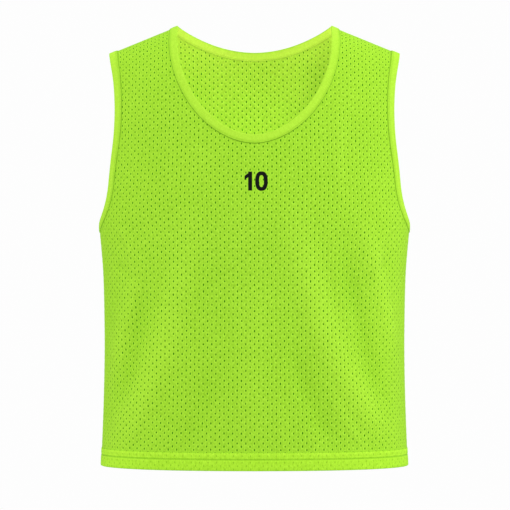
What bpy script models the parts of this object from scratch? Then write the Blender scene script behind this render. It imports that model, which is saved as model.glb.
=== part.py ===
"""Training bib: a sleeveless mesh over-vest, shown as worn with no wearer inside.

Frame: metres, +Z up, front faces -Y, wearer's left side on +X.
The origin lies midway between the middles of the two shoulder seams.
"""
from math import asin, atan2, cos, exp, pi, radians, sin

import bmesh
import bpy
import numpy as np

# Driving sizes.
HEM_LEVEL = -0.5960
SHOULDER_MIDDLE_X = 0.1560
SHOULDER_FALL = 0.408
CLOTH_HALF = 0.0006
BINDING_HALF = 0.0005
BINDING_LAYER = 0.0014
SEAM_HALF_GAP = 0.00015
NECK_BINDING_COVER = 0.0101
ARM_BINDING_COVER = 0.0108
FOLD_CLEARANCE = 0.0003

# The girth of the garment: how square it is in plan, and its depth each way.
GIRTH_POWER = 2.3
FRONT_DEPTH = 0.130
BACK_DEPTH = 0.108
FRONT_ROUNDING = 1.15
BACK_ROUNDING = 1.20
DEPTH_REACH = 0.100
DEPTH_POWER = 0.6
SHOULDER_TIP_DEPTH = 0.0228

# The front neckline is part of an oval, the back one a shallow bow.
NECK_HALF_WIDTH = 0.1090
NECK_OVAL_DROP = 0.1380
NECK_OVAL_POWER = 1.87
BACK_NECK_LEVEL = -0.0141

# The armhole's lowest point at the side seam, and the height of its round foot.
UNDERARM_LEVEL = -0.2590
UNDERARM_ROUND = 0.0550

# Hem: height of each row of the outer layer, and how far it stands out.
HEM_ROWS = (
    # height, out
    (0.0015, 0.0000),
    (0.0080, 0.0003),
    (0.0135, 0.0001),
    (0.0160, -0.0005),
    (0.0185, 0.0001),
    (0.0240, 0.0003),
    (0.0300, 0.0000),
)
HEM_TURNED_ROWS = (1, 3, 5)
HEM_FOLD_RADIUS = 0.0009
HEM_FOLD_ANGLES = (60, 120, 180)
HEM_OUT_ON_SEAM = 0.5

# Half width of the garment at the side seam, by level.
SIDE_WIDTH = (
    # level, half width
    (-0.020, 0.2125),
    (-0.100, 0.2125),
    (-0.180, 0.2132),
    (-0.235, 0.2158),
    (-0.262, 0.2170),
    (-0.296, 0.2144),
    (-0.324, 0.2123),
    (-0.367, 0.2109),
    (-0.437, 0.2102),
    (-0.508, 0.2116),
    (-0.564, 0.2137),
    (-0.596, 0.2152),
)

# Armhole edge: share of the garment's depth left between it and the side, by level.
ARMHOLE_CUT = (
    # level, share of depth
    (-0.019, 0.375),
    (-0.056, 0.462),
    (-0.090, 0.493),
    (-0.116, 0.493),
    (-0.141, 0.477),
    (-0.175, 0.434),
    (-0.209, 0.407),
    (-0.240, 0.405),
    (-0.262, 0.405),
)

# Soft folds: three points of the middle line as x and level, height out, half width.
FRONT_FOLDS = (
    # x1, level1, x2, level2, x3, level3, out, half width
    (0.152, -0.262, 0.176, -0.360, 0.196, -0.445, 0.0035, 0.020),
    (0.056, -0.265, 0.086, -0.440, 0.180, -0.550, 0.0055, 0.034),
    (-0.090, -0.255, -0.108, -0.430, -0.190, -0.552, 0.0045, 0.032),
    (-0.162, -0.320, -0.178, -0.390, -0.195, -0.462, 0.0030, 0.022),
    (0.124, -0.290, 0.142, -0.400, 0.178, -0.515, -0.0035, 0.022),
    (-0.150, -0.350, -0.162, -0.430, -0.186, -0.505, -0.0030, 0.020),
    (0.052, -0.430, 0.078, -0.510, 0.112, -0.566, -0.0030, 0.024),
    (-0.056, -0.450, -0.070, -0.515, -0.100, -0.570, -0.0025, 0.026),
    (0.004, -0.330, -0.008, -0.440, -0.004, -0.560, 0.0020, 0.036),
)
BACK_FOLDS = (
    # x1, level1, x2, level2, x3, level3, out, half width
    (0.150, -0.280, 0.132, -0.400, 0.172, -0.545, 0.0045, 0.030),
    (-0.142, -0.265, -0.158, -0.400, -0.186, -0.530, 0.0040, 0.028),
    (0.070, -0.200, 0.052, -0.380, 0.082, -0.560, 0.0035, 0.038),
    (-0.064, -0.240, -0.078, -0.420, -0.058, -0.556, 0.0045, 0.036),
    (0.108, -0.330, 0.100, -0.440, 0.130, -0.560, -0.0030, 0.024),
    (-0.112, -0.340, -0.124, -0.440, -0.120, -0.560, -0.0030, 0.026),
    (0.006, -0.300, -0.010, -0.440, 0.012, -0.565, -0.0025, 0.034),
)

# Folds are measured at this many places, die down towards their ends and near the side seams.
FOLD_SAMPLES = 48
FOLD_END_SHARE = 0.30
FOLD_END_RISE = 3.0
FOLD_SIDE_LIMIT = 0.2125
FOLD_SIDE_FADE = 0.020

# Counts of faces along each panel, and where its columns meet the neck and arm edges.
FRONT_COUNTS = {"under_neck": 8, "between": 10, "under_arm": 4, "body": 16, "upper": 12,
                "neck_split": 0.42, "arm_split": 0.22}
BACK_COUNTS = {"under_neck": 7, "between": 9, "under_arm": 4, "body": 16, "upper": 12,
               "neck_split": 0.50, "arm_split": 0.22}
NECK_CROWDING = 0.5
ARM_CROWDING = 0.3
COLUMN_LEAN = 1.3

# Steps used to measure the cloth's directions and to walk on it.
DIRECTION_STEP = 0.004
ALONG_REACH = 0.002
WALK_STEPS = 6

# Angles of the corners round a folded tape.
TAPE_FOLD_ANGLES = (90, 30, -30, -90)

CLOTH_GREEN = (0.35, 0.74, 0.035, 1.0)
TAPE_GREEN = (0.46, 0.85, 0.05, 1.0)
CLOTH_ROUGHNESS = 0.85


def clear_scene():
    for ob in list(bpy.data.objects):
        bpy.data.objects.remove(ob, do_unlink=True)


def smooth_table(rows, level):
    """Value at a level from a table of levels going down, as a smooth curve."""
    levels = [-row[0] for row in rows]
    values = [row[1] for row in rows]
    at = min(max(-level, levels[0]), levels[-1])
    i = 0
    while i < len(levels) - 2 and at > levels[i + 1]:
        i += 1

    def slope(k):
        lo = max(k - 1, 0)
        hi = min(k + 1, len(levels) - 1)
        return (values[hi] - values[lo]) / (levels[hi] - levels[lo])

    span = levels[i + 1] - levels[i]
    f = (at - levels[i]) / span
    blend = f * f * (3 - 2 * f)
    start = (f * f * f - 2 * f * f + f) * span * slope(i)
    end = (f * f * f - f * f) * span * slope(i + 1)
    return values[i] * (1 - blend) + values[i + 1] * blend + start + end


def shoulder_level(x):
    return SHOULDER_FALL * (SHOULDER_MIDDLE_X - abs(x))


def half_width(drop):
    return smooth_table(SIDE_WIDTH, -drop - SHOULDER_TIP_DEPTH)


def drop_of(q):
    return DEPTH_REACH * max(q, 0.0) ** (1 / DEPTH_POWER)


def q_of(drop):
    return (max(drop, 0.0) / DEPTH_REACH) ** DEPTH_POWER


def depth_at(q, side):
    if side < 0:
        return FRONT_DEPTH * (1 - exp(-FRONT_ROUNDING * q))
    return BACK_DEPTH * (1 - exp(-BACK_ROUNDING * q))


def surface(t, q, side):
    """Point of the cloth's middle: t runs from the centre line (0) to the side seam (1)."""
    drop = drop_of(q)
    power = 2 / GIRTH_POWER
    x = half_width(drop) * abs(sin(t * pi / 2)) ** power
    y = depth_at(q, side) * abs(cos(t * pi / 2)) ** power if t < 1 else 0.0
    return np.array([x, side * (SEAM_HALF_GAP + y), shoulder_level(x) - drop])


def q_at_level(t, level):
    q = q_of(0.3)
    drop = 0.3
    for _ in range(30):
        x = half_width(drop) * abs(sin(t * pi / 2)) ** (2 / GIRTH_POWER)
        drop = max(shoulder_level(x) - level, 0.0)
        q = q_of(drop)
    return q


def t_of_depth_share(share):
    share = min(max(share, 0.0), 1.0)
    if share == 0:
        return 1.0
    c = share ** (GIRTH_POWER / 2)
    return atan2((1 - c * c) ** 0.5, c) * 2 / pi


def t_of_x(x, drop):
    s = min(abs(x) / half_width(drop), 1.0) ** (GIRTH_POWER / 2)
    return asin(min(s, 1.0)) * 2 / pi


def neckline(side, steps=400):
    """The panel's neck edge as t and q, from the centre line to the shoulder seam."""
    out = []
    top = shoulder_level(NECK_HALF_WIDTH)
    if side < 0:
        for i in range(steps + 1):
            a = radians(90 * i / steps)
            x = NECK_HALF_WIDTH * abs(sin(a)) ** (2 / NECK_OVAL_POWER)
            z = -NECK_OVAL_DROP * abs(cos(a)) ** (2 / NECK_OVAL_POWER)
            out.append((x, z))
        for i in range(1, steps // 4 + 1):
            f = 4 * i / steps
            out.append((NECK_HALF_WIDTH, top * (1 - (1 - f) ** 2)))
    else:
        for i in range(steps + 1):
            f = 1 - (1 - i / steps) ** 2
            out.append((NECK_HALF_WIDTH * f, BACK_NECK_LEVEL + (top - BACK_NECK_LEVEL) * f * f))
    line = []
    for x, z in out:
        drop = max(shoulder_level(x) - z, 0.0)
        line.append((t_of_x(x, drop), q_of(drop)))
    line[-1] = (line[-1][0], 0.0)
    return line


def armhole(side, steps=400):
    """The panel's arm edge as t and q, from the side seam up to the shoulder seam."""
    tip_t = t_of_depth_share(ARMHOLE_CUT[0][1])
    tip_level = surface(tip_t, 0.0, side)[2]
    line = [(1.0, q_at_level(1.0, UNDERARM_LEVEL))]
    for i in range(1, steps + 1):
        f = 1 - cos(radians(90 * i / steps))
        f = 0.5 * f + 0.5 * (i / steps) ** 2
        level = UNDERARM_LEVEL + (tip_level - UNDERARM_LEVEL) * f
        rise = (level - UNDERARM_LEVEL) / UNDERARM_ROUND
        closing = (1 - (1 - rise) ** 2) ** 0.5 if rise < 1 else 1.0
        t = t_of_depth_share(closing * smooth_table(ARMHOLE_CUT, level))
        line.append((t, q_at_level(t, level)))
    line[-1] = (tip_t, 0.0)
    return line


def lengths_along(points):
    steps = np.linalg.norm(np.diff(points, axis=0), axis=1)
    return np.concatenate([[0.0], np.cumsum(steps)])


def pick_along(line, side, shares):
    """Places at shares of a line's true length, each with its direction along the line."""
    points = np.array([surface(t, q, side) for t, q in line])
    run = lengths_along(points)
    where = np.array(shares) * run[-1]
    ts = np.interp(where, run, [p[0] for p in line])
    qs = np.interp(where, run, [p[1] for p in line])
    out = []
    for i, w in enumerate(where):
        lo = min(max(w - ALONG_REACH, 0.0), run[-1] - ALONG_REACH)
        hi = max(min(w + ALONG_REACH, run[-1]), ALONG_REACH)
        ends = [[np.interp(v, run, points[:, k]) for k in range(3)] for v in (lo, hi)]
        along = np.array(ends[1]) - np.array(ends[0])
        out.append((ts[i], qs[i], along / np.linalg.norm(along)))
    return out


def frame_at(t, q, side):
    """The two directions in which the cloth's middle runs, per unit of t and of q."""
    t0, t1 = max(t - DIRECTION_STEP, 0.0), min(t + DIRECTION_STEP, 1.0)
    q0, q1 = max(q - DIRECTION_STEP, 0.0), q + DIRECTION_STEP
    along_t = (surface(t1, q, side) - surface(t0, q, side)) / (t1 - t0)
    along_q = (surface(t, q1, side) - surface(t, q0, side)) / (q1 - q0)
    return along_t, along_q


def walk_inward(t, q, along, side, distance, inside_sign):
    """Walk on the cloth square to an edge; the ends of the edge stay on their seams."""
    on_seam = q <= 1e-9
    on_side = t >= 1 - 1e-9
    on_centre = t <= 1e-9
    heading = None
    part = distance / WALK_STEPS
    for _ in range(WALK_STEPS):
        dt, dq = frame_at(t, q, side)
        normal = np.cross(dt, dq)
        normal /= np.linalg.norm(normal)
        if heading is None:
            heading = np.cross(normal, along) * inside_sign
        heading = heading - normal * heading.dot(normal)
        heading /= np.linalg.norm(heading)
        both = np.stack([dt, dq], axis=1)
        move = np.linalg.lstsq(both, heading, rcond=None)[0] * part
        if on_seam:
            move = np.array([part / np.linalg.norm(dt) * np.sign(move[0]), 0.0])
        if on_side or on_centre:
            move = np.array([0.0, part / np.linalg.norm(dq) * np.sign(move[1])])
        t = min(max(t + move[0], 0.0), 1.0)
        q = max(q + move[1], 0.0)
    return t, q


def even_shares(first, last, count, crowding=0.0):
    """Shares from first to last; crowding sets them closer together at both ends."""
    out = []
    for i in range(count + 1):
        f = i / count
        g = (1 - crowding) * f + crowding * (0.5 - 0.5 * cos(pi * f))
        out.append(first + (last - first) * g)
    return out


def lerp(a, b, f):
    return a + (b - a) * f


def fold_height(x, z, folds):
    """How far the cloth stands out at a place, from all the soft folds near it."""
    out = 0.0
    for x1, z1, x2, z2, x3, z3, height, spread in folds:
        best = None
        for i in range(FOLD_SAMPLES + 1):
            f = i / FOLD_SAMPLES
            px = (1 - f) ** 2 * x1 + 2 * f * (1 - f) * x2 + f * f * x3
            pz = (1 - f) ** 2 * z1 + 2 * f * (1 - f) * z2 + f * f * z3
            d = ((x - px) ** 2 + (z - pz) ** 2) ** 0.5
            if best is None or d < best[0]:
                best = (d, f)
        d, f = best
        if d < spread:
            ends = min(1.0, FOLD_END_SHARE + FOLD_END_RISE * min(f, 1 - f))
            out += height * ends * (0.5 + 0.5 * cos(pi * d / spread))
    return out


def panel_plan(side, counts):
    """All places of one half panel as t and q, with the faces between them.

    From the hem the columns of faces run up to three edges in turn: the neck binding,
    the line from there to the armhole, and the foot of the armhole. A second grid fills
    the part between neck and armhole up to the shoulder seam.
    """
    a, b, c = counts["under_neck"], counts["between"], counts["under_arm"]
    m = counts["upper"]
    neck_shares = even_shares(0, counts["neck_split"], a)
    neck_shares += even_shares(counts["neck_split"], 1, m, NECK_CROWDING)[1:]
    arm_shares = even_shares(0, counts["arm_split"], c)
    arm_shares += even_shares(counts["arm_split"], 1, m, ARM_CROWDING)[1:]
    neck = pick_along(neckline(side), side, neck_shares)
    arm = pick_along(armhole(side), side, arm_shares)
    # The sign puts the strip under the neck edge and on the panel's side of the arm edge.
    neck_in = [walk_inward(t, q, d, side, NECK_BINDING_COVER, 1) for t, q, d in neck]
    arm_in = [walk_inward(t, q, d, side, ARM_BINDING_COVER, -1) for t, q, d in arm]
    places = []
    index = {}

    def put(key, t, q):
        if key not in index:
            index[key] = len(places)
            places.append((t, q))
        return index[key]

    across = a + b + c
    hem_levels = [HEM_LEVEL + row[0] for row in HEM_ROWS]
    rows = []
    for level in hem_levels:
        rows.append([put(("low", len(rows), j), j / across, q_at_level(j / across, level))
                     for j in range(across + 1)])
    top = [neck_in[j] for j in range(a + 1)]
    for j in range(1, b):
        top.append((lerp(neck_in[a][0], arm_in[c][0], j / b), lerp(neck_in[a][1], arm_in[c][1], j / b)))
    top += [arm_in[c - j] for j in range(c + 1)]
    for r in range(1, counts["body"] + 1):
        f = r / counts["body"]
        row = []
        for j in range(across + 1):
            t = lerp(j / across, top[j][0], f ** COLUMN_LEAN)
            top_level = surface(top[j][0], top[j][1], side)[2]
            level = lerp(hem_levels[-1], top_level, f)
            q = top[j][1] if r == counts["body"] else q_at_level(t, level)
            row.append(put(("low", len(rows), j), t, q))
        rows.append(row)
    upper = [rows[-1][a:a + b + 1]]
    for k in range(1, m + 1):
        t0, q0 = neck_in[a + k]
        t1, q1 = arm_in[c + k]
        upper.append([put(("up", k, j), lerp(t0, t1, j / b), lerp(q0, q1, j / b))
                      for j in range(b + 1)])
    neck_edge = [put(("neck", i), neck[i][0], neck[i][1]) for i in range(a + m + 1)]
    arm_edge = [put(("arm", k), arm[k][0], arm[k][1]) for k in range(c + m + 1)]
    neck_under = rows[-1][:a + 1] + [row[0] for row in upper[1:]]
    arm_under = rows[-1][:a + b - 1:-1] + [row[-1] for row in upper[1:]]
    faces = []
    for grid in (rows, upper):
        for low, high in zip(grid, grid[1:]):
            for j in range(len(low) - 1):
                faces.append((low[j], low[j + 1], high[j + 1], high[j]))
    for i in range(a + m):
        faces.append((neck_edge[i], neck_under[i], neck_under[i + 1], neck_edge[i + 1]))
    for k in range(c + m):
        faces.append((arm_edge[k], arm_edge[k + 1], arm_under[k + 1], arm_under[k]))
    return {"places": places, "faces": faces, "rows": rows,
            "neck_edge": neck_edge, "neck_under": neck_under,
            "arm_edge": arm_edge, "arm_under": arm_under}


def face_normals(points, faces):
    out = []
    for f in faces:
        a = points[f[2]] - points[f[0]]
        b = points[f[3]] - points[f[1]]
        out.append(np.cross(a, b))
    return out


def vertex_normals(points, faces):
    normals = np.zeros_like(points)
    for f, n in zip(faces, face_normals(points, faces)):
        for v in f:
            normals[v] += n
    return normals / np.linalg.norm(normals, axis=1)[:, None]


def whole_panel(side, counts, folds):
    """The middle of a panel's cloth, both halves, with its normals and named edges."""
    plan = panel_plan(side, counts)
    half = np.array([surface(t, q, side) for t, q in plan["places"]])
    count = len(half)
    on_centre = [t <= 1e-9 for t, q in plan["places"]]
    on_seam = [q <= 1e-9 or t >= 1 - 1e-9 for t, q in plan["places"]]
    mirror = {}
    points = [p for p in half]
    for i in range(count):
        if on_centre[i]:
            mirror[i] = i
        else:
            mirror[i] = len(points)
            points.append(half[i] * np.array([-1.0, 1.0, 1.0]))
    points = np.array(points)
    # The first and third corner keep the same diagonal on the mirrored face.
    faces = list(plan["faces"])
    for f in plan["faces"]:
        faces.append((mirror[f[0]], mirror[f[3]], mirror[f[2]], mirror[f[1]]))
    if face_normals(points, faces[:1])[0][1] * side < 0:
        faces = [(f[0], f[3], f[2], f[1]) for f in faces]

    seam = set()
    for i in range(count):
        if on_seam[i]:
            seam.update((i, mirror[i]))

    def tidy_normals(normals):
        for i in seam:
            normals[i][1] = 0.0
        for i in range(count):
            if on_centre[i]:
                normals[i][0] = 0.0
        return normals / np.linalg.norm(normals, axis=1)[:, None]

    normals = tidy_normals(vertex_normals(points, faces))
    hem_out = {}
    for r, (height, out) in enumerate(HEM_ROWS):
        for v in plan["rows"][r]:
            hem_out[v] = hem_out[mirror[v]] = out
    for i, (x, y, z) in enumerate(points):
        side_fade = min(1.0, max(0.0, (FOLD_SIDE_LIMIT - abs(x)) / FOLD_SIDE_FADE))
        lift = fold_height(x, z, folds) * side_fade
        lift += hem_out.get(i, 0.0) * (1.0 if i not in seam else HEM_OUT_ON_SEAM)
        points[i] = points[i] + normals[i] * lift
    normals = tidy_normals(vertex_normals(points, faces))
    return {"points": points, "normals": normals, "faces": faces, "mirror": mirror,
            "plan": plan, "seam": seam, "side": side}


def add_turned_hem(panel):
    """Turn the hem up inside: a round fold, then an inner layer up to its free edge."""
    points = [p for p in panel["points"]]
    normals = [n for n in panel["normals"]]
    faces = list(panel["faces"])
    rows = panel["plan"]["rows"]
    mirror = panel["mirror"]

    def across(row):
        return [mirror[v] for v in row[:0:-1]] + list(row)

    bottom = across(rows[0])
    above = across(rows[1])
    last = bottom
    for angle in HEM_FOLD_ANGLES:
        a = radians(angle)
        ring = []
        for v, w in zip(bottom, above):
            down = panel["points"][v] - panel["points"][w]
            n = panel["normals"][v]
            down = down - n * down.dot(n)
            if v in panel["seam"]:
                down[1] = 0.0
            down /= np.linalg.norm(down)
            turn = n * cos(a) + down * sin(a)
            ring.append(len(points))
            points.append(panel["points"][v] - n * HEM_FOLD_RADIUS + turn * HEM_FOLD_RADIUS)
            normals.append(turn)
        faces += hem_faces(last, ring, panel["side"])
        last = ring
    for r in HEM_TURNED_ROWS:
        ring = []
        for v in across(rows[r]):
            n = panel["normals"][v]
            ring.append(len(points))
            points.append(panel["points"][v] - n * 2 * HEM_FOLD_RADIUS)
            normals.append(-n)
        faces += hem_faces(last, ring, panel["side"])
        last = ring
    return np.array(points), np.array(normals), faces


def hem_faces(first, second, side):
    out = []
    for j in range(len(first) - 1):
        quad = (first[j], second[j], second[j + 1], first[j + 1])
        out.append(quad if side < 0 else (quad[0], quad[3], quad[2], quad[1]))
    return out


def thicken(points, normals, faces, half):
    """A closed wall of even thickness round the middle of a piece of cloth."""
    count = len(points)
    verts = list(points + normals * half) + list(points - normals * half)
    out = []
    edges = {}
    for f in faces:
        out.append(f)
        out.append((f[0] + count, f[3] + count, f[2] + count, f[1] + count))
        for i in range(4):
            a, b = f[i], f[(i + 1) % 4]
            edges[(a, b)] = True
    for a, b in edges:
        if (b, a) not in edges:
            out.append((b, a, a + count, b + count))
    return verts, out


def make_material(name, colour):
    mat = bpy.data.materials.new(name)
    mat.use_nodes = True
    shader = mat.node_tree.nodes["Principled BSDF"]
    shader.inputs["Base Color"].default_value = colour
    shader.inputs["Roughness"].default_value = CLOTH_ROUGHNESS
    return mat


def make_object(name, verts, quads, material, collection):
    """A closed body from four-cornered faces, each split from its first corner to its third."""
    mesh = bpy.data.meshes.new(name)
    bm = bmesh.new()
    made = [bm.verts.new(tuple(v)) for v in verts]
    for q in quads:
        bm.faces.new((made[q[0]], made[q[1]], made[q[2]]))
        bm.faces.new((made[q[0]], made[q[2]], made[q[3]]))
    bm.normal_update()
    if bm.calc_volume(signed=True) < 0:
        bmesh.ops.reverse_faces(bm, faces=bm.faces[:])
    bm.to_mesh(mesh)
    bm.free()
    ob = bpy.data.objects.new(name, mesh)
    mesh.materials.append(material)
    collection.objects.link(ob)
    return ob


def binding_station(edge, under, n_edge, n_under, keep_y):
    """One place along a binding: its cross-section, from the outer end round to the inner."""
    out_dir = edge - under
    out_dir = out_dir - n_edge * out_dir.dot(n_edge)
    if not keep_y:
        out_dir[1] = 0.0
    out_dir /= np.linalg.norm(out_dir)
    centre = edge + out_dir * FOLD_CLEARANCE
    loop = []
    for radius, angles in ((BINDING_LAYER + BINDING_HALF, TAPE_FOLD_ANGLES),
                           (BINDING_LAYER - BINDING_HALF, TAPE_FOLD_ANGLES[::-1])):
        ring = [centre + radius * (n_edge * sin(radians(a)) + out_dir * cos(radians(a)))
                for a in angles]
        first = under + n_under * radius * (1 if angles[0] > 0 else -1)
        last = under - n_under * radius * (1 if angles[0] > 0 else -1)
        loop += [first] + ring + [last]
    return loop


def make_binding(name, stations, links, material, collection):
    """A folded tape: stations joined by links, each link running the same way as its panel."""
    verts = []
    for loop in stations:
        verts += loop
    size = len(stations[0])
    quads = []
    for s, s2, forward in links:
        for p in range(size):
            q = (p + 1) % size
            # Start from the fold's corner so the split matches the panel beneath.
            if q in (1, 7):
                quad = (s * size + q, s * size + p, s2 * size + p, s2 * size + q)
            else:
                quad = (s * size + p, s2 * size + p, s2 * size + q, s * size + q)
            if not forward:
                quad = (quad[0], quad[3], quad[2], quad[1])
            quads.append(quad)
    return make_object(name, verts, quads, material, collection)


def edge_station(panel, edge, under, i, mirrored):
    v = panel["plan"][edge][i]
    w = panel["plan"][under][i]
    if mirrored:
        v, w = panel["mirror"][v], panel["mirror"][w]
    return (panel["points"][v], panel["points"][w], panel["normals"][v], panel["normals"][w])


def joined_station(first, second):
    """The place where a binding crosses a seam: between the two panels' own places."""
    mean = [(p + q) / 2 for p, q in zip(first, second)]
    mean[2] = mean[2] / np.linalg.norm(mean[2])
    mean[3] = mean[3] / np.linalg.norm(mean[3])
    for v in mean:
        v[1] = 0.0
    return mean


def neck_binding(front, back, material, collection):
    stations = []
    links = []
    count = {}
    for panel in (front, back):
        last = len(panel["plan"]["neck_edge"]) - 1
        for mirrored in (False, True):
            for i in range(last):
                if i == 0 and mirrored:
                    count[(panel["side"], mirrored, i)] = count[(panel["side"], False, 0)]
                    continue
                count[(panel["side"], mirrored, i)] = len(stations)
                place = edge_station(panel, "neck_edge", "neck_under", i, mirrored)
                stations.append(binding_station(*place, keep_y=True))
    for mirrored in (False, True):
        ends = []
        for panel in (front, back):
            last = len(panel["plan"]["neck_edge"]) - 1
            ends.append(edge_station(panel, "neck_edge", "neck_under", last, mirrored))
            count[(panel["side"], mirrored, last)] = len(stations)
        stations.append(binding_station(*joined_station(*ends), keep_y=False))
    for panel in (front, back):
        last = len(panel["plan"]["neck_edge"]) - 1
        for mirrored in (False, True):
            forward = (panel["side"] < 0) != mirrored
            for i in range(last):
                links.append((count[(panel["side"], mirrored, i)],
                              count[(panel["side"], mirrored, i + 1)], forward))
    return make_binding("neck_binding", stations, links, material, collection)


def arm_binding(name, front, back, mirrored, material, collection):
    stations = []
    links = []
    last = len(front["plan"]["arm_edge"]) - 1
    count = {}
    for panel in (front, back):
        for k in range(1, last):
            count[(panel["side"], k)] = len(stations)
            place = edge_station(panel, "arm_edge", "arm_under", k, mirrored)
            stations.append(binding_station(*place, keep_y=True))
    for k in (0, last):
        ends = [edge_station(p, "arm_edge", "arm_under", k, mirrored) for p in (front, back)]
        count[(front["side"], k)] = count[(back["side"], k)] = len(stations)
        stations.append(binding_station(*joined_station(*ends), keep_y=False))
    for panel in (front, back):
        forward = (panel["side"] < 0) != mirrored
        for k in range(last):
            links.append((count[(panel["side"], k)], count[(panel["side"], k + 1)], forward))
    return make_binding(name, stations, links, material, collection)


def build():
    clear_scene()
    collection = bpy.data.collections.new("training_bib")
    bpy.context.scene.collection.children.link(collection)
    front = whole_panel(-1, FRONT_COUNTS, FRONT_FOLDS)
    back = whole_panel(1, BACK_COUNTS, BACK_FOLDS)
    for name, panel in (("front_panel", front), ("back_panel", back)):
        points, normals, faces = add_turned_hem(panel)
        verts, quads = thicken(points, normals, faces, CLOTH_HALF)
        make_object(name, verts, quads, make_material(name, CLOTH_GREEN), collection)
    neck_binding(front, back, make_material("neck_binding", TAPE_GREEN), collection)
    for name, mirrored in (("left_armhole_binding", False), ("right_armhole_binding", True)):
        arm_binding(name, front, back, mirrored, make_material(name, TAPE_GREEN), collection)


build()
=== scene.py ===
"""Looks of the training bib: knitted net, folded tapes, turned hem, seams and thread."""

from math import cos, pi, radians, sin

import bmesh
import bpy
import numpy as np
from mathutils import Matrix, Vector


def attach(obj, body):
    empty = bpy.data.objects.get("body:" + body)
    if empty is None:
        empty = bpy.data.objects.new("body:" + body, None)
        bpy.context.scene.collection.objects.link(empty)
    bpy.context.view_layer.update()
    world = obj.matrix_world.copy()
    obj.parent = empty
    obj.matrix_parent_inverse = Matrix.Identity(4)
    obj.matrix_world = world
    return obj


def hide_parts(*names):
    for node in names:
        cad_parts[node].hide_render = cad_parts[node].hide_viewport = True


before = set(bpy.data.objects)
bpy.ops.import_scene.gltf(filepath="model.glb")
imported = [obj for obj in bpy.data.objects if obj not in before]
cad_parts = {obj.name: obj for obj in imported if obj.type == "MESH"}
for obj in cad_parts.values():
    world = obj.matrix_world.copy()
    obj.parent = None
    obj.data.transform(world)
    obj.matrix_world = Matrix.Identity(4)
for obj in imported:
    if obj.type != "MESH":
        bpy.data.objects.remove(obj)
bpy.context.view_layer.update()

# Sizes of the cut, as in the part's own source.
HEM_LEVEL = -0.5960
SHOULDER_MIDDLE_X = 0.1560
SHOULDER_FALL = 0.408
SEAM_HALF_GAP = 0.00015
NECK_TAPE_COVER = 0.0101
ARM_TAPE_COVER = 0.0108
GIRTH_POWER = 2.3
FRONT_DEPTH, FRONT_ROUNDING = 0.130, 1.15
BACK_DEPTH, BACK_ROUNDING = 0.108, 1.20
DEPTH_REACH = 0.100
DEPTH_POWER = 0.6
NECK_HALF_WIDTH = 0.1090
NECK_OVAL_DROP = 0.1380
NECK_OVAL_POWER = 1.87
BACK_NECK_LEVEL = -0.0141
UNDERARM_LEVEL = -0.2590
UNDERARM_ROUND = 0.0550
SHOULDER_TIP_DROP = 0.0228

SIDE_WIDTH = (
    # level, half width
    (-0.020, 0.2125), (-0.100, 0.2125), (-0.180, 0.2132), (-0.235, 0.2158),
    (-0.262, 0.2170), (-0.296, 0.2144), (-0.324, 0.2123), (-0.367, 0.2109),
    (-0.437, 0.2102), (-0.508, 0.2116), (-0.564, 0.2137), (-0.596, 0.2152),
)
ARMHOLE_CUT = (
    # level, share of depth
    (-0.019, 0.375), (-0.056, 0.462), (-0.090, 0.493), (-0.116, 0.493), (-0.141, 0.477),
    (-0.175, 0.434), (-0.209, 0.407), (-0.240, 0.405), (-0.262, 0.405),
)
FRONT_FOLDS = (
    # x1, level1, x2, level2, x3, level3, out, half width
    (0.152, -0.262, 0.176, -0.360, 0.196, -0.445, 0.0035, 0.020),
    (0.056, -0.255, 0.090, -0.460, 0.186, -0.553, 0.0055, 0.034),
    (-0.090, -0.255, -0.110, -0.455, -0.190, -0.554, 0.0045, 0.032),
    (-0.162, -0.320, -0.178, -0.390, -0.195, -0.462, 0.0030, 0.022),
    (0.124, -0.290, 0.142, -0.400, 0.178, -0.515, -0.0035, 0.022),
    (-0.150, -0.350, -0.162, -0.430, -0.186, -0.505, -0.0030, 0.020),
    (0.052, -0.430, 0.078, -0.510, 0.112, -0.566, -0.0030, 0.024),
    (-0.056, -0.450, -0.070, -0.515, -0.100, -0.570, -0.0025, 0.026),
    (0.004, -0.330, -0.008, -0.440, -0.004, -0.560, 0.0020, 0.036),
)
BACK_FOLDS = (
    # x1, level1, x2, level2, x3, level3, out, half width
    (0.150, -0.280, 0.132, -0.400, 0.172, -0.545, 0.0045, 0.030),
    (-0.142, -0.265, -0.158, -0.400, -0.186, -0.530, 0.0040, 0.028),
    (0.070, -0.200, 0.052, -0.380, 0.082, -0.560, 0.0035, 0.038),
    (-0.064, -0.240, -0.078, -0.420, -0.058, -0.556, 0.0045, 0.036),
    (0.108, -0.330, 0.100, -0.440, 0.130, -0.560, -0.0030, 0.024),
    (-0.112, -0.340, -0.124, -0.440, -0.120, -0.560, -0.0030, 0.026),
    (0.006, -0.300, -0.010, -0.440, 0.012, -0.565, -0.0025, 0.034),
)
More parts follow.
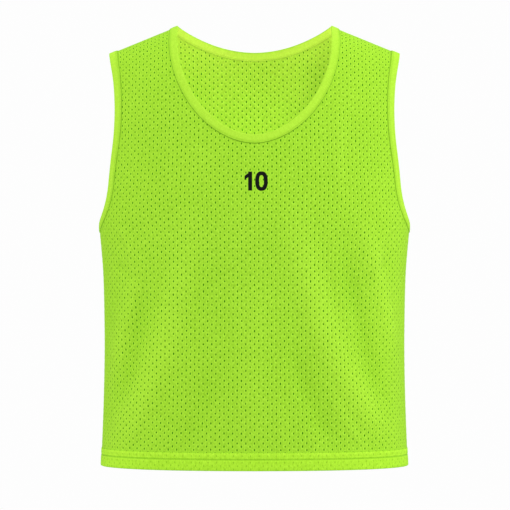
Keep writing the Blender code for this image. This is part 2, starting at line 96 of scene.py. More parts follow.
# Small creases that only the cloth's surface shows.
FRONT_CREASES = (
    # x1, level1, x2, level2, x3, level3, out, half width
    (0.186, -0.262, 0.170, -0.290, 0.166, -0.330, 0.0016, 0.009),
    (-0.188, -0.262, -0.170, -0.285, -0.168, -0.322, 0.0015, 0.009),
    (0.196, -0.300, 0.170, -0.330, 0.150, -0.345, -0.0012, 0.010),
    (-0.198, -0.306, -0.176, -0.330, -0.150, -0.338, -0.0012, 0.010),
    (0.120, -0.100, 0.112, -0.160, 0.118, -0.230, 0.0014, 0.014),
    (-0.118, -0.110, -0.108, -0.170, -0.116, -0.235, 0.0012, 0.014),
    (-0.020, -0.240, -0.034, -0.330, -0.024, -0.420, 0.0010, 0.016),
    (0.100, -0.480, 0.116, -0.520, 0.150, -0.566, 0.0016, 0.011),
    (-0.136, -0.470, -0.150, -0.520, -0.176, -0.566, 0.0014, 0.012),
    (0.030, -0.500, 0.040, -0.540, 0.036, -0.572, 0.0010, 0.012),
    (-0.030, -0.520, -0.040, -0.548, -0.036, -0.572, -0.0008, 0.012),
)
BACK_CREASES = (
    # x1, level1, x2, level2, x3, level3, out, half width
    (0.184, -0.262, 0.166, -0.296, 0.158, -0.350, 0.0016, 0.010),
    (-0.186, -0.262, -0.168, -0.300, -0.162, -0.345, 0.0014, 0.010),
    (0.060, -0.060, 0.075, -0.120, 0.062, -0.190, 0.0012, 0.016),
    (-0.050, -0.070, -0.066, -0.130, -0.058, -0.200, 0.0010, 0.016),
    (0.030, -0.330, 0.020, -0.440, 0.036, -0.540, 0.0012, 0.014),
    (-0.090, -0.480, -0.100, -0.520, -0.090, -0.566, 0.0012, 0.012),
    (0.140, -0.470, 0.150, -0.520, 0.142, -0.566, 0.0012, 0.012),
)
FOLD_SAMPLES = 48
FOLD_END_SHARE = 0.30
FOLD_END_RISE = 3.0
FOLD_SIDE_LIMIT = 0.2125
FOLD_SIDE_FADE = 0.020
# Fold height at which the painted light on crests and troughs is full.
FOLD_HEIGHT_FOR_FULL_PAINTED_LIGHT = 0.0045

# The net: spacing of its columns of holes, rows in a column, and one closed hole.
COLUMN_SPACING = 0.0058
ROW_PITCH = 0.0090
HOLE_HALF_WIDTH = 0.00072
HOLE_HALF_HEIGHT = 0.00142
RIM_GROWTH = 0.00055
RIM_LIFT = 0.00016
# Share of the rim's painted highlight at a hole's top and bottom; its left and right sides get all of
# it.
RIM_HIGHLIGHT_TOP = 0.3
HOLE_DEPTH = 0.00030
HOLE_STRAY_ACROSS = 0.00010
HOLE_STRAY_UP = 0.00016
HOLE_SIZE_CHANGE = 0.10
CORNER_SHARE = 0.36
NET_START = 0.0200

# Hem: a layer outside, a fold at the bottom and a layer inside.
HEM_OUTSIDE = (
    # height, out, tone: painted light, shade below zero and highlight above zero
    (0.0251, 0.00018, -0.3), (0.0246, 0.00042, 0.0), (0.0238, 0.00064, 0.14),
    (0.0220, 0.00062, 0.08), (0.0195, 0.00056, 0.0), (0.0178, 0.00052, 0.10),
    (0.0168, 0.00026, -0.45), (0.0160, 0.00008, -0.6), (0.0152, 0.00026, -0.45),
    (0.0142, 0.00052, 0.10), (0.0125, 0.00062, 0.0), (0.0080, 0.00066, 0.0),
    (0.0035, 0.00062, 0.0), (0.0015, 0.00056, -0.1),
)
HEM_FOLD_LEVEL = 0.0015
HEM_FOLD_RADIUS = 0.00095
HEM_WALL_HALF = 0.00024
# Painted shade under the hem's fold.
HEM_UNDER_PAINTED_SHADE = -0.3
HEM_STITCH_HEIGHT = 0.0160
HEM_GROOVE_OUT = 0.0001
HEM_INSIDE = (0.0050, 0.0100, 0.0145, 0.0160, 0.0175, 0.0210, 0.0236, 0.0240)
HEM_INSIDE_DIP = 0.0002
HEM_COLUMNS = 420

# Tapes: outer layer from its stitched edge to the fold, as distance from the cloth's edge.
TAPE_SHAPE = (
    # share of the cover, out, tone: painted light, shade below zero and highlight above zero; -1 is
    # the painted shadow line
    (1.000, 0.00030, -1.0), (1.085, 0.00030, -1.0), (1.085, 0.00042, -1.0), (1.015, 0.00050, -1.0),
    (1.006, 0.00084, -0.2), (0.985, 0.00108, 0.0), (0.940, 0.00122, 0.0), (0.885, 0.00112, -0.1),
    (0.855, 0.00096, -0.2), (0.825, 0.00112, -0.1), (0.760, 0.00132, 0.0), (0.600, 0.00142, 0.1),
    (0.400, 0.00142, 0.1), (0.200, 0.00138, 0.1), (0.000, 0.00134, 0.1),
)
TAPE_FOLD = 0.00134
TAPE_INSIDE = 0.00036
TAPE_CLEARANCE = 0.0003
TAPE_STITCH_SHARE = 0.855
TAPE_GROOVE_OUT = 0.00096
TAPE_INSIDE_SHARES = (0.98, 0.66, 0.33, 0.0)
# Painted highlight on the tape's fold, and the painted shadow line along the tapes' stitched borders.
TAPE_FOLD_PAINTED_HIGHLIGHT = 0.1
NECK_PAINTED_SHADOW_LINE = -0.85
ARM_PAINTED_SHADOW_LINE = -0.5
WALK_STEPS = 12

# Sewing thread and the seam allowances inside.
STITCH_LENGTH = 0.0024
STITCH_GAP = 0.0033
THREAD_HALF = 0.00017
STITCH_PROFILE = (
    # along, lift, thickness
    (-1.0, -0.6, 0.3), (-0.6, 0.15, 0.8), (0.0, 0.6, 1.0), (0.6, 0.15, 0.8), (1.0, -0.6, 0.3),
)
SIXTHS = (0, 60, 120, 180, 240, 300)
SEAM_ALLOWANCE = 0.0095
SEAM_ALLOWANCE_HALF = 0.0006
SHOULDER_SEAM_INSET = 0.11

# The printed number: its middle, half height, and widths.
NUMBER_X = 0.0020
NUMBER_LEVEL = -0.2005
NUMBER_HALF_HEIGHT = 0.0130

# Colours, and how strongly each effect shows in them. Hole rims and floors, fold crests and troughs,
# hole traces and hem and tape edges get painted light and shade.
NET_GREEN = (0.386, 0.782, 0.031)
HEM_GREEN = (0.472, 0.910, 0.036)
TAPE_GREEN = (0.455, 0.850, 0.042)
THREAD_GREEN = (0.42, 0.82, 0.045)
PRINT_BLACK = (0.006, 0.007, 0.006, 1.0)
# Colour of painted shade: hole floors, hole traces and the shadow lines along edges.
PAINTED_SHADE_SHARE = (0.08, 0.35, 0.0)
LOW_SHARE = (0.68, 0.80, 0.40)
HIGH_SHARE = (1.32, 1.20, 1.70)
LOW_TONE, TONE_SPAN = 0.8, 0.4
PATCH_SCALE, PATCH_TONE = 12.0, 0.10
STITCH_TONE, STITCH_GLOSS = 0.5, -0.10
# Painted highlight on hole rims, and painted light on fold crests and troughs.
RIM_PAINTED_HIGHLIGHT, FOLD_PAINTED_LIGHT = 0.16, 0.07
# Painted shade in the hem's hole traces.
TRACE_PAINTED_SHADE = 0.40
# Painted highlight and painted shade along hem and tape edges.
EDGE_PAINTED_HIGHLIGHT, EDGE_PAINTED_SHADE = 0.5, 0.6
PRINT_GLOSS = 0.15
RELIEF_HEIGHT = 0.0003
YARN_PATCH = 0.0024
# Wale width, course height, relief, unevenness, roughness.
NET_KNIT = (0.0008, 0.0007, 0.5, 0.5, 0.75)
TAPE_KNIT = (0.0007, 0.0006, 0.4, 0.25, 0.72)
THREAD_TWIST = (0.0003, 0.0003, 0.2, 0.1, 0.6)

# Camera: the photograph looks straight at the front from this far.
CAMERA_DISTANCE = 4.0
CAMERA_LEVEL = -0.3014
CAMERA_X = 0.0007
PHOTO_METRES_PER_PIXEL = 0.001405
PHOTO_PIXELS = 510
SENSOR_WIDTH = 36.0

# Light: strength of the surroundings, white of the backdrop, and the soft lamps.
WORLD_LIGHT = 0.42
BACKDROP_WHITE = 0.985
LIGHTS = (
    # name, place, aimed at, size, power, spread, colour
    ("key_light", (0.8, -2.3, 2.1), (0, 0, -0.16), 1.4, 45, 180, (1, 1, 1)),
    ("left_light", (-2.4, -0.7, 0.2), (0, 0, -0.30), 1.6, 24, 180, (1, 1, 1)),
    ("right_light", (2.4, -0.7, 0.2), (0, 0, -0.30), 1.6, 23, 180, (1, 1, 1)),
    ("top_light", (0.0, 0.6, 1.8), (0, 0, -0.2), 1.2, 8, 180, (1, 1, 1)),
    ("inside_light", (0, -0.02, -0.80), (0, 0.06, -0.10), 0.12, 0.50, 45, (1, 0.56, 1.2)),
)


def smooth_table(rows, level):
    """Values at levels from a table of levels going down, as a smooth curve."""
    levels = np.array([-row[0] for row in rows])
    values = np.array([row[1] for row in rows])
    slopes = np.empty_like(values)
    slopes[1:-1] = (values[2:] - values[:-2]) / (levels[2:] - levels[:-2])
    slopes[0] = (values[1] - values[0]) / (levels[1] - levels[0])
    slopes[-1] = (values[-1] - values[-2]) / (levels[-1] - levels[-2])
    at = np.clip(-np.asarray(level, float), levels[0], levels[-1])
    i = np.clip(np.searchsorted(levels, at) - 1, 0, len(levels) - 2)
    span = levels[i + 1] - levels[i]
    f = (at - levels[i]) / span
    blend = f * f * (3 - 2 * f)
    start = (f ** 3 - 2 * f * f + f) * span * slopes[i]
    end = (f ** 3 - f * f) * span * slopes[i + 1]
    return values[i] * (1 - blend) + values[i + 1] * blend + start + end


def shoulder_level(x):
    return SHOULDER_FALL * (SHOULDER_MIDDLE_X - np.abs(x))


def half_width(drop):
    return smooth_table(SIDE_WIDTH, -np.asarray(drop) - SHOULDER_TIP_DROP)


def drop_of(q):
    return DEPTH_REACH * np.maximum(q, 0.0) ** (1 / DEPTH_POWER)


def q_of(drop):
    return (np.maximum(drop, 0.0) / DEPTH_REACH) ** DEPTH_POWER


def depth_at(q, side):
    if side < 0:
        return FRONT_DEPTH * (1 - np.exp(-FRONT_ROUNDING * q))
    return BACK_DEPTH * (1 - np.exp(-BACK_ROUNDING * q))


def surface(t, q, side):
    """Middle of the cloth: t runs from one side seam (-1) past the centre line to the other."""
    t, q = np.broadcast_arrays(np.asarray(t, float), np.asarray(q, float))
    power = 2 / GIRTH_POWER
    drop = drop_of(q)
    across = np.abs(np.sin(t * pi / 2)) ** power
    inward = np.where(np.abs(t) < 1, np.abs(np.cos(t * pi / 2)), 0.0) ** power
    x = np.sign(t) * half_width(drop) * across
    y = side * (SEAM_HALF_GAP + depth_at(q, side) * inward)
    return np.stack([x, y, shoulder_level(x) - drop], axis=-1)


def q_at_level(t, level):
    drop = np.full(np.shape(t), 0.3)
    for _ in range(30):
        x = half_width(drop) * np.abs(np.sin(np.asarray(t) * pi / 2)) ** (2 / GIRTH_POWER)
        drop = np.maximum(shoulder_level(x) - level, 0.0)
    return q_of(drop)


def t_of_depth_share(share):
    c = np.clip(share, 0.0, 1.0) ** (GIRTH_POWER / 2)
    return np.arctan2(np.sqrt(1 - c * c), c) * 2 / pi


def t_of_x(x, drop):
    s = np.minimum(np.abs(x) / half_width(drop), 1.0) ** (GIRTH_POWER / 2)
    return np.arcsin(s) * 2 / pi


def fold_height(x, z, folds):
    """How far the cloth stands out at places, from all the soft folds near them."""
    out = np.zeros(np.shape(x))
    f = np.linspace(0, 1, FOLD_SAMPLES + 1)
    for x1, z1, x2, z2, x3, z3, height, spread in folds:
        px = (1 - f) ** 2 * x1 + 2 * f * (1 - f) * x2 + f * f * x3
        pz = (1 - f) ** 2 * z1 + 2 * f * (1 - f) * z2 + f * f * z3
        near = (x > px.min() - spread) & (x < px.max() + spread)
        near &= (z > pz.min() - spread) & (z < pz.max() + spread)
        if not near.any():
            continue
        d = np.hypot(x[near][:, None] - px, z[near][:, None] - pz)
        best = d.argmin(axis=1)
        d = d[np.arange(len(d)), best]
        ends = FOLD_END_SHARE + FOLD_END_RISE * np.minimum(f[best], 1 - f[best])
        ends = np.minimum(1.0, ends)
        out[near] += np.where(d < spread, height * ends * (0.5 + 0.5 * np.cos(pi * d / spread)), 0)
    return out


def base_normal(t, q, side):
    """Outward direction of the cloth before its folds; it stays in the seams' plane there."""
    step = 0.003
    t = np.asarray(t, float)
    q = np.asarray(q, float)
    t0, t1 = np.maximum(t - step, -1.0), np.minimum(t + step, 1.0)
    q0, q1 = np.maximum(q - step, 0.0), q + step
    n = np.cross(surface(t1, q, side) - surface(t0, q, side),
                 surface(t, q1, side) - surface(t, q0, side))
    n = n * side
    on_seam = (np.abs(t) >= 1 - 1e-9) | (q <= 1e-9)
    n[..., 1] = np.where(on_seam, 0.0, n[..., 1])
    return n / np.linalg.norm(n, axis=-1, keepdims=True)


def folded(t, q, side, out=0.0):
    """The cloth with its folds, moved outward by a given distance; with its direction."""
    p = surface(t, q, side)
    n = base_normal(t, q, side)
    return p + n * (fold_lift(p, side) + out)[..., None], n


def fold_lift(p, side):
    folds = (FRONT_FOLDS + FRONT_CREASES) if side < 0 else (BACK_FOLDS + BACK_CREASES)
    fade = np.clip((FOLD_SIDE_LIMIT - np.abs(p[..., 0])) / FOLD_SIDE_FADE, 0.0, 1.0)
    return fold_height(p[..., 0], p[..., 2], folds) * fade


class Panel:
    """Measures the cloth of one side: u is the length across, v the length up from the hem."""

    def __init__(self, side):
        self.side = side
        self.ts = np.linspace(0, 1, 161)
        ring = surface(np.linspace(0, 1, 2001), q_at_level(np.linspace(0, 1, 2001), -0.45), side)
        run = np.concatenate([[0], np.cumsum(np.linalg.norm(np.diff(ring, axis=0), axis=1))])
        self.half = run[-1]
        self.ring_u = run
        self.ring_t = np.linspace(0, 1, 2001)
        self.q_lines = []
        self.v_lines = []
        for t in self.ts:
            q_low = float(q_at_level(t, HEM_LEVEL))
            qs = q_low * (1 - np.linspace(0, 1, 401))
            line = surface(np.full(401, t), qs, side)
            length = np.linalg.norm(np.diff(line, axis=0), axis=1)
            self.q_lines.append(qs)
            self.v_lines.append(np.concatenate([[0], np.cumsum(length)]))
        self.v_lines = np.array(self.v_lines)
        self.q_lines = np.array(self.q_lines)
        self.top = self.v_lines[:, -1]

    def t_of(self, u):
        return np.sign(u) * np.interp(np.abs(u), self.ring_u, self.ring_t)

    def top_of(self, t):
        return np.interp(np.abs(t), self.ts, self.top)

    def q_at(self, t, v):
        """q where the length up from the hem is v, between the two measured lines nearest t."""
        t = np.abs(np.asarray(t, float))
        v = np.asarray(v, float)
        place = np.clip(t, 0, 1) * (len(self.ts) - 1)
        low = np.minimum(place.astype(int), len(self.ts) - 2)
        f = place - low
        share = v / self.top_of(t)
        out = np.zeros(len(t))
        for i in np.unique(low):
            mask = low == i
            a = np.interp(share[mask] * self.top[i], self.v_lines[i], self.q_lines[i])
            b = np.interp(share[mask] * self.top[i + 1], self.v_lines[i + 1], self.q_lines[i + 1])
            out[mask] = a * (1 - f[mask]) + b * f[mask]
        return out


def neckline(side, steps=600):
    """The panel's neck edge as t and q, from the centre line to the shoulder seam."""
    top = float(shoulder_level(NECK_HALF_WIDTH))
    if side < 0:
        a = np.radians(np.linspace(0, 90, steps + 1))
        x = NECK_HALF_WIDTH * np.sin(a) ** (2 / NECK_OVAL_POWER)
        z = -NECK_OVAL_DROP * np.abs(np.cos(a)) ** (2 / NECK_OVAL_POWER)
        f = np.linspace(0, 1, steps // 4 + 1)[1:]
        x = np.concatenate([x, np.full(len(f), NECK_HALF_WIDTH)])
        z = np.concatenate([z, top * (1 - (1 - f) ** 2)])
    else:
        f = 1 - (1 - np.linspace(0, 1, steps + 1)) ** 2
        x = NECK_HALF_WIDTH * f
        z = BACK_NECK_LEVEL + (top - BACK_NECK_LEVEL) * f * f
    drop = np.maximum(shoulder_level(x) - z, 0.0)
    t, q = t_of_x(x, drop), q_of(drop)
    q[-1] = 0.0
    return t, q


def armhole(side, steps=600):
    """The panel's arm edge as t and q, from the side seam up to the shoulder seam."""
    tip_t = float(t_of_depth_share(ARMHOLE_CUT[0][1]))
    tip_level = float(surface(tip_t, 0.0, side)[2])
    i = np.linspace(0, 1, steps + 1)
    f = 0.5 * (1 - np.cos(np.radians(90 * i))) + 0.5 * i ** 2
    level = UNDERARM_LEVEL + (tip_level - UNDERARM_LEVEL) * f
    rise = (level - UNDERARM_LEVEL) / UNDERARM_ROUND
    closing = np.where(rise < 1, np.sqrt(np.maximum(1 - (1 - rise) ** 2, 0)), 1.0)
    t = t_of_depth_share(closing * smooth_table(ARMHOLE_CUT, level))
    q = q_at_level(t, level)
    t[0], q[-1] = 1.0, 0.0
    return t, q


def measured(points):
    return np.concatenate([[0], np.cumsum(np.linalg.norm(np.diff(points, axis=0), axis=1))])


def along_edge(line, side, count):
    """Evenly measured places on an edge, each with its direction along the edge."""
    t, q = line
    points = surface(t, q, side)
    run = measured(points)
    where = np.linspace(0, run[-1], count + 1)
    lo = np.clip(where - 0.002, 0, run[-1] - 0.002)
    hi = np.clip(where + 0.002, 0.002, run[-1])
    ends = [np.stack([np.interp(v, run, points[:, k]) for k in range(3)], axis=-1) for v in (lo, hi)]
    along = ends[1] - ends[0]
    along /= np.linalg.norm(along, axis=1)[:, None]
    return np.interp(where, run, t), np.interp(where, run, q), along


def walk_inward(t, q, along, side, distance, sign):
    """Walk on the cloth square to an edge and note each step; ends stay on their seams."""
    t, q = t.copy(), q.copy()
    keep_q = q <= 1e-9
    keep_t = (t >= 1 - 1e-9) | (t <= 1e-9)
    part = distance / WALK_STEPS
    heading = None
    rows = [(t.copy(), q.copy())]
    for _ in range(WALK_STEPS):
        step = 0.004
        t0, t1 = np.maximum(t - step, 0.0), np.minimum(t + step, 1.0)
        q0, q1 = np.maximum(q - step, 0.0), q + step
        dt = (surface(t1, q, side) - surface(t0, q, side)) / (t1 - t0)[:, None]
        dq = (surface(t, q1, side) - surface(t, q0, side)) / (q1 - q0)[:, None]
        normal = np.cross(dt, dq)
        normal /= np.linalg.norm(normal, axis=1)[:, None]
        if heading is None:
            heading = np.cross(normal, along) * sign
        heading = heading - normal * np.sum(heading * normal, axis=1)[:, None]
        heading /= np.linalg.norm(heading, axis=1)[:, None]
        tt, qq, tq = (np.sum(a * b, axis=1) for a, b in ((dt, dt), (dq, dq), (dt, dq)))
        ht, hq = np.sum(heading * dt, axis=1), np.sum(heading * dq, axis=1)
        det = tt * qq - tq * tq
        move_t = (ht * qq - hq * tq) / det * part
        move_q = (hq * tt - ht * tq) / det * part
        move_t = np.where(keep_q, np.sign(move_t) * part / np.sqrt(tt), move_t)
        move_q = np.where(keep_t, np.sign(move_q) * part / np.sqrt(qq), move_q)
        t = np.clip(t + np.where(keep_t, 0.0, move_t), 0.0, 1.0)
        q = np.maximum(q + np.where(keep_q, 0.0, move_q), 0.0)
        rows.append((t.copy(), q.copy()))
    return rows


def link(ob):
    bpy.context.scene.collection.objects.link(ob)
    return ob


def finish_mesh(name, points, faces, material, uv=None, values=None):
    """An object from points and faces, with a UV map in metres and named values a point."""
    me = bpy.data.meshes.new(name)
    me.from_pydata([tuple(p) for p in points], [], faces)
    if uv is not None:
        layer = me.uv_layers.new(name="UVMap")
        index = np.empty(len(me.loops), dtype=np.int32)
        me.loops.foreach_get("vertex_index", index)
        layer.data.foreach_set("uv", np.asarray(uv, dtype=np.float32)[index].ravel())
    for key, data in (values or {}).items():
        attribute = me.attributes.new(key, "FLOAT", "POINT")
        attribute.data.foreach_set("value", np.asarray(data, dtype=np.float32))
    bm = bmesh.new()
    bm.from_mesh(me)
    bmesh.ops.dissolve_degenerate(bm, edges=bm.edges[:], dist=0.00001)
    bm.to_mesh(me)
    bm.free()
    me.shade_smooth()
    me.materials.append(material)
    return link(bpy.data.objects.new(name, me))


def sweep(name, sections, closed, material, painted_light_values=None):
    """A closed skin through cross-sections, each a loop of points; open runs get end caps."""
    sections = np.asarray(sections)
    count, size = sections.shape[:2]
    middle = sections.mean(axis=1)
    run = measured(middle)
    girth = measured(np.vstack([sections[0], sections[0][:1]]))
    faces = []
    loops = []
    last = count if closed else count - 1
    for i in range(last):
        j = (i + 1) % count
        u0 = run[i]
        u1 = run[j] if j else run[-1] + np.linalg.norm(middle[0] - middle[-1])
        for k in range(size):
            m = (k + 1) % size
            faces.append((i * size + k, j * size + k, j * size + m, i * size + m))
            loops.append(((u0, girth[k]), (u1, girth[k]), (u1, girth[k + 1]), (u0, girth[k + 1])))
    if not closed:
        for i, order in ((0, range(size)), (count - 1, range(size - 1, -1, -1))):
            faces.append(tuple(i * size + k for k in order))
            loops.append(tuple((run[i], girth[k]) for k in order))
    me = bpy.data.meshes.new(name)
    me.from_pydata([tuple(p) for p in sections.reshape(-1, 3)], [], faces)
    layer = me.uv_layers.new(name="UVMap")
    layer.data.foreach_set("uv", np.array([c for f in loops for c in f], dtype=np.float32).ravel())
    # The edge values are painted light: shade below zero, highlight above zero.
    if painted_light_values is not None:
        attribute = me.attributes.new("edge_painted_light", "FLOAT", "POINT")
        attribute.data.foreach_set("value", np.tile(np.array(painted_light_values, dtype=np.float32), count))
    bm = bmesh.new()
    bm.from_mesh(me)
    if bm.calc_volume(signed=True) < 0:
        bmesh.ops.reverse_faces(bm, faces=bm.faces[:])
    bm.to_mesh(me)
    bm.free()
    me.shade_smooth()
    me.materials.append(material)
    return link(bpy.data.objects.new(name, me))


# The net of a panel.

def outside_neck(points, side):
    x, z = np.abs(points[..., 0]), points[..., 2]
    f = np.clip(x / NECK_HALF_WIDTH, 0, 1)
    if side < 0:
        edge = -NECK_OVAL_DROP * (1 - f ** NECK_OVAL_POWER) ** (1 / NECK_OVAL_POWER)
    else:
        top = float(shoulder_level(NECK_HALF_WIDTH))
        edge = BACK_NECK_LEVEL + (top - BACK_NECK_LEVEL) * f * f
    return (x < NECK_HALF_WIDTH) & (z > edge)


def outside_arm(t, points):
    z = points[..., 2]
    rise = (z - UNDERARM_LEVEL) / UNDERARM_ROUND
    closing = np.sqrt(np.clip(1 - (1 - np.clip(rise, 0, 1)) ** 2, 0, 1))
    edge = t_of_depth_share(closing * smooth_table(ARMHOLE_CUT, z))
    return (z > UNDERARM_LEVEL) & (np.abs(t) > edge)


def snap_to(points, t, line, side):
    """Move places to the nearest place of an edge on their own half of the panel."""
    edge = surface(line[0], line[1], side)
    mirrored = points.copy()
    mirrored[:, 0] = np.abs(mirrored[:, 0])
    nearest = ((mirrored[:, None, :] - edge[None, :, :]) ** 2).sum(axis=2).argmin(axis=1)
    return np.sign(t) * line[0][nearest], line[1][nearest]


def net_cells(columns, spacing, highest):
    """Corners and cells of a brick pattern of six-sided cells, by column and half row."""
    near, far = CORNER_SHARE * spacing, (1 - CORNER_SHARE) * spacing
    numbers = {}
    corner_uv = []

    def corner(right, column, half_row):
        key = (right, column, half_row)
        if key not in numbers:
            numbers[key] = len(corner_uv)
            offset = far if right else -far
            corner_uv.append((column * spacing + offset, NET_START + half_row * ROW_PITCH / 2))
        return numbers[key]

    cells = []
    for c in range(-columns - 1, columns + 2):
        for k in range(c % 2, highest, 2):
            cells.append((c, k, [corner(True, c, k), corner(False, c + 1, k + 1),
                                 corner(True, c - 1, k + 1), corner(False, c, k),
                                 corner(True, c - 1, k - 1), corner(False, c + 1, k - 1)]))
    return np.array(corner_uv), cells


def make_net(name, panel, material):
    """Knitted net: every cell has a small closed hole, with a raised rim and a sunken floor. The
    floor is painted dark as the shade inside an open hole, and the rim is painted lighter as a
    highlight.
    """
    side = panel.side
    columns = round(panel.half / COLUMN_SPACING - 0.5)
    spacing = panel.half / (columns + 0.5)
    uv, cells = net_cells(columns, spacing, int((panel.top.max() - NET_START) / (ROW_PITCH / 2)) + 3)
    u = np.clip(uv[:, 0], -panel.half, panel.half)
    t = panel.t_of(u)
    top = panel.top_of(t)
    v = np.clip(uv[:, 1], NET_START, top)
    q = np.where(v >= top, 0.0, panel.q_at(t, v))
    places = surface(t, q, side)
    beyond_neck = outside_neck(places, side)
    beyond_arm = outside_arm(t, places) & ~beyond_neck
    for mask, line in ((beyond_neck, neckline(side)), (beyond_arm, armhole(side))):
        t[mask], q[mask] = snap_to(places[mask], t[mask], line, side)
    off = (np.abs(uv[:, 0]) > panel.half) | (uv[:, 1] > top) | beyond_neck | beyond_arm
    moved = off | (uv[:, 1] < NET_START)
    rng = np.random.default_rng(11)
    angles = np.radians(SIXTHS)
    faces, ring_uv, ring_out, ring_painted_light = [], [], [], []
    for c, k, ids in cells:
        wander = rng.normal(0, 1, 4).clip(-2, 2)
        if all(off[i] for i in ids):
            continue
        if any(moved[i] for i in ids):
            faces.append(ids)
            continue
        middle_u = c * spacing + wander[0] * HOLE_STRAY_ACROSS
        middle_v = NET_START + k * ROW_PITCH / 2 + wander[1] * HOLE_STRAY_UP
        wide = HOLE_HALF_WIDTH * (1 + HOLE_SIZE_CHANGE * wander[2])
        tall = HOLE_HALF_HEIGHT * (1 + HOLE_SIZE_CHANGE * wander[3])
        first = len(uv) + len(ring_uv)
        # The rim ring is painted lighter as a highlight, brightest at its sides; the floor ring is
        # painted dark as shade.
        for grow, out, rim in ((RIM_GROWTH, RIM_LIFT, 1.0), (0.0, -HOLE_DEPTH, -1.0)):
            for a in angles:
                ring_uv.append((middle_u + (wide + grow) * cos(a), middle_v + (tall + grow) * sin(a)))
                ring_out.append(out)
                ring_painted_light.append(rim if rim < 0 else RIM_HIGHLIGHT_TOP + (1 - RIM_HIGHLIGHT_TOP) * abs(cos(a)))
        for i in range(6):
            j = (i + 1) % 6
            faces.append([ids[i], ids[j], first + j, first + i])
            faces.append([first + i, first + j, first + 6 + j, first + 6 + i])
        faces.append([first + 6 + i for i in range(6)])
    ring_uv = np.array(ring_uv)
    ring_t = panel.t_of(ring_uv[:, 0])
    ring_q = panel.q_at(ring_t, ring_uv[:, 1])
    out = np.concatenate([np.zeros(len(uv)), ring_out])
    all_t, all_q = np.concatenate([t, ring_t]), np.concatenate([q, ring_q])
    points, _ = folded(all_t, all_q, side, out)
    # Fold height kept as painted light: crests lighter, troughs darker.
    ridge = fold_lift(surface(all_t, all_q, side), side) / FOLD_HEIGHT_FOR_FULL_PAINTED_LIGHT
    rim = np.concatenate([np.zeros(len(uv)), ring_painted_light])
    all_uv = np.concatenate([uv, ring_uv])
    used = np.zeros(len(points), bool)
    for f in faces:
        used[f] = True
    new = np.cumsum(used) - 1
    kept = [[int(new[i]) for i in (f if side < 0 else f[::-1])] for f in faces]
    return finish_mesh(name, points[used], kept, material, all_uv[used],
                       {"hole_painted_light": rim[used], "ridge": ridge[used]})


# Hem, tapes, seams and thread.

def at_height(panel, t, height):
    """Place, outward direction and downward direction of the cloth at a height above the hem."""
    p, n = folded(t, panel.q_at(t, np.full(len(t), height)), panel.side)
    above, _ = folded(t, panel.q_at(t, np.full(len(t), height + 0.002)), panel.side)
    down = p - above
    down -= n * np.sum(down * n, axis=1)[:, None]
    return p, n, down / np.linalg.norm(down, axis=1)[:, None]


def make_hem(name, panel, material):
    """The hem's cloth as a thin folded wall: outside layer, fold and inside layer."""
    u = np.linspace(-panel.half, panel.half, HEM_COLUMNS + 1)
    t = panel.t_of(u)
    t[0], t[-1] = -1.0, 1.0
    line = []
    for height, out, tone in HEM_OUTSIDE:
        p, n, down = at_height(panel, t, height)
        line.append(p + n * out)
    fold_out = HEM_OUTSIDE[-1][1]
    p, n, down = at_height(panel, t, HEM_FOLD_LEVEL)
    for angle in (30, 60, 90, 120, 150, 180):
        a = radians(angle)
        centre = p + n * (fold_out - HEM_FOLD_RADIUS)
        line.append(centre + (n * cos(a) + down * sin(a)) * HEM_FOLD_RADIUS)
    inside = fold_out - 2 * HEM_FOLD_RADIUS
    for height in HEM_INSIDE:
        p, n, down = at_height(panel, t, height)
        dip = HEM_INSIDE_DIP if height == HEM_STITCH_HEIGHT else 0.0
        line.append(p + n * (inside + dip))
    line = np.array(line).transpose(1, 0, 2)
    forward = np.gradient(line, axis=1)
    across = np.gradient(line, axis=0)
    wall = np.cross(forward, across)
    wall /= np.linalg.norm(wall, axis=2)[..., None]
    if np.sum(wall[len(t) // 2, 8] * n[len(t) // 2]) < 0:
        wall = -wall
    for end in (0, -1):
        wall[end, :, 1] = 0
        wall[end] /= np.linalg.norm(wall[end], axis=1)[:, None]
    outer, inner = line + wall * HEM_WALL_HALF, line - wall * HEM_WALL_HALF
    loop = np.concatenate([outer, inner[:, ::-1]], axis=1)
    # Painted light on the hem: a highlight on its band, and shade on its top edge, its groove and the
    # underside of its fold.
    painted_light_values = [tone for height, out, tone in HEM_OUTSIDE] + [HEM_UNDER_PAINTED_SHADE] * 3
    painted_light_values += [0.0] * (loop.shape[1] - len(painted_light_values))
    return sweep(name, loop, False, material, painted_light_values)


def edge_rows(line, side, count, cover, sign, mirror):
    """Places and outward directions from an edge inward, for each station along it."""
    t, q, along = along_edge(line, side, count)
    points, normals = [], []
    for tt, qq in walk_inward(t, q, along, side, cover, sign):
        p, n = folded(mirror * tt, qq, side)
        points.append(p)
        normals.append(n)
    return np.array(points).transpose(1, 0, 2), np.array(normals).transpose(1, 0, 2)


def seam_station(first, second):
    """The place where a tape crosses a seam, between the two panels' own places."""
    out = []
    for a, b in zip(first, second):
        mean = (a + b) / 2
        mean[:, 1] = 0
        out.append(mean)
    out[1] /= np.linalg.norm(out[1], axis=1)[:, None]
    return out


def neck_stations(count_front, count_back, cover):
    points, normals = [], []
    front_line, back_line = neckline(-1), neckline(1)
    parts = {m: (edge_rows(front_line, -1, count_front, cover, 1, m),
                 edge_rows(back_line, 1, count_back, cover, 1, m)) for m in (1, -1)}
    for m in (1, -1):
        (fp, fn), (bp, bn) = parts[m]
        sp, sn = seam_station((fp[-1], fn[-1]), (bp[-1], bn[-1]))
        run_p = [*fp[:-1], sp, *bp[-2::-1]]
        run_n = [*fn[:-1], sn, *bn[-2::-1]]
        if m > 0:
            points += run_p
            normals += run_n
        else:
            points += run_p[::-1][1:-1]
            normals += run_n[::-1][1:-1]
    return np.array(points), np.array(normals)


